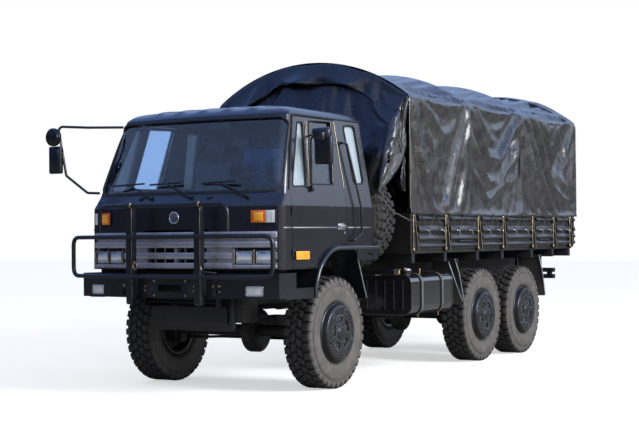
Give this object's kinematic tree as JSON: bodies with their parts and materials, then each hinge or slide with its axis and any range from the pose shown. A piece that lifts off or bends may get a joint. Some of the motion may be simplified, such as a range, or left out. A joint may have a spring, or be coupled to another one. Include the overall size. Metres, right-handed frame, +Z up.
{
  "type": "military cargo truck",
  "caption": "Six-wheel-drive forward-cab cargo truck with a brush guard, steered front wheels, opening doors, a ribbed drop-side load bed and a hooped canopy.",
  "frame": {"origin": "on the ground under the middle of the whole truck", "axes": "+X forward, +Y to the truck's left, +Z up"},
  "size_m": [7.699, 3.3838, 3.4296],
  "materials": {
    "chassis_paint": "satin black chassis paint, dusty",
    "cast_iron": "bare and painted castings",
    "radiator_core": "dark finned core",
    "exhaust_steel": "heat-dulled black steel",
    "flap_rubber": "black rubber",
    "body_paint": "satin black body paint",
    "guard_paint": "gloss black powder coat",
    "bed_paint": "satin black paint with dust in the corners",
    "window_glass": "lightly tinted glass",
    "grille_silver": "silver-grey paint",
    "clear_lens": "fluted clear lens",
    "amber_lens": "amber lens with a clear outer end",
    "red_lens": "red lens",
    "dash_plastic": "grained dark plastic",
    "seat_cover": "grey woven seat cover",
    "canopy_cloth": "glossy coated black canvas",
    "tyre_rubber": "dusty tyre rubber",
    "wheel_paint": "black wheel paint"
  },
  "bodies": {
    "chassis": {"frame_rails": "chassis_paint", "leaf_springs": "chassis_paint", "front_axle": "chassis_paint", "rear_axles": "chassis_paint", "engine": "cast_iron", "driveline": "cast_iron", "radiator": "radiator_core", "fuel_tank": "chassis_paint", "battery_box": "chassis_paint", "exhaust": "exhaust_steel", "rear_mudguards": "flap_rubber", "spare_tyre": "tyre_rubber", "spare_rim": "wheel_paint", "spare_carrier": "chassis_paint", "bumper": "body_paint", "brush_guard": "guard_paint", "cab_shell": "body_paint", "cab_glass": "window_glass", "grille": "grille_silver", "head_lamps": "clear_lens", "turn_signals": "amber_lens", "wipers": "flap_rubber", "mirrors": "guard_paint", "flares": "body_paint", "dashboard": "dash_plastic", "seats": "seat_cover", "bed_floor": "bed_paint", "bed_sides": "bed_paint", "canopy": "canopy_cloth", "canopy_bows": "bed_paint", "front_curtain": "canopy_cloth", "tail_lamps": "red_lens"},
    "knuckle_left": {"knuckle_left": "chassis_paint"},
    "knuckle_right": {"knuckle_right": "chassis_paint"},
    "track_rod": {"track_rod": "chassis_paint"},
    "door_left": {"door_left": "body_paint", "door_glass_left": "window_glass"},
    "door_right": {"door_right": "body_paint", "door_glass_right": "window_glass"},
    "tailgate": {"tailgate": "bed_paint"},
    "wheel_front_left": {"rim_front_left": "wheel_paint", "tyre_front_left": "tyre_rubber"},
    "wheel_middle_left": {"rim_middle_left": "wheel_paint", "tyre_middle_left": "tyre_rubber"},
    "wheel_rear_left": {"rim_rear_left": "wheel_paint", "tyre_rear_left": "tyre_rubber"},
    "wheel_front_right": {"rim_front_right": "wheel_paint", "tyre_front_right": "tyre_rubber"},
    "wheel_middle_right": {"rim_middle_right": "wheel_paint", "tyre_middle_right": "tyre_rubber"},
    "wheel_rear_right": {"rim_rear_right": "wheel_paint", "tyre_rear_right": "tyre_rubber"}
  },
  "joints": [
    {"name": "steer_left", "type": "hinge", "parent": "chassis", "child": "knuckle_left", "pos_m": [2.45, 0.86, 0.554], "axis": [0, 0, 1], "range_deg": [-28, 28]},
    {"name": "steer_right", "type": "hinge", "parent": "chassis", "child": "knuckle_right", "pos_m": [2.45, -0.86, 0.554], "axis": [0, 0, 1], "range_deg": [-28, 28]},
    {"name": "track_rod_pivot", "type": "hinge", "parent": "knuckle_left", "child": "track_rod", "pos_m": [2.29, 0.845, 0.455], "axis": [0, 0, 1], "range_deg": [-29, 29]},
    {"name": "roll_front_left", "type": "hinge", "parent": "knuckle_left", "child": "wheel_front_left", "pos_m": [2.45, 0.96, 0.554], "axis": [0, 1, 0], "continuous": true},
    {"name": "roll_middle_left", "type": "hinge", "parent": "chassis", "child": "wheel_middle_left", "pos_m": [-1.025, 0.96, 0.554], "axis": [0, 1, 0], "continuous": true},
    {"name": "roll_rear_left", "type": "hinge", "parent": "chassis", "child": "wheel_rear_left", "pos_m": [-2.275, 0.96, 0.554], "axis": [0, 1, 0], "continuous": true},
    {"name": "roll_front_right", "type": "hinge", "parent": "knuckle_right", "child": "wheel_front_right", "pos_m": [2.45, -0.96, 0.554], "axis": [0, 1, 0], "continuous": true},
    {"name": "roll_middle_right", "type": "hinge", "parent": "chassis", "child": "wheel_middle_right", "pos_m": [-1.025, -0.96, 0.554], "axis": [0, 1, 0], "continuous": true},
    {"name": "roll_rear_right", "type": "hinge", "parent": "chassis", "child": "wheel_rear_right", "pos_m": [-2.275, -0.96, 0.554], "axis": [0, 1, 0], "continuous": true},
    {"name": "open_door_left", "type": "hinge", "parent": "chassis", "child": "door_left", "pos_m": [3.312, 1.136, 1.9], "axis": [0, 0, -1], "range_deg": [0, 68]},
    {"name": "open_door_right", "type": "hinge", "parent": "chassis", "child": "door_right", "pos_m": [3.312, -1.136, 1.9], "axis": [0, 0, 1], "range_deg": [0, 68]},
    {"name": "drop_tailgate", "type": "hinge", "parent": "chassis", "child": "tailgate", "pos_m": [-3.796, 0, 1.352], "axis": [0, -1, 0], "range_deg": [0, 165]}
  ],
  "couplings": [
    {"joint": "steer_right", "follows": "steer_left", "ratio": 1},
    {"joint": "track_rod_pivot", "follows": "steer_left", "ratio": -1.018}
  ]
}
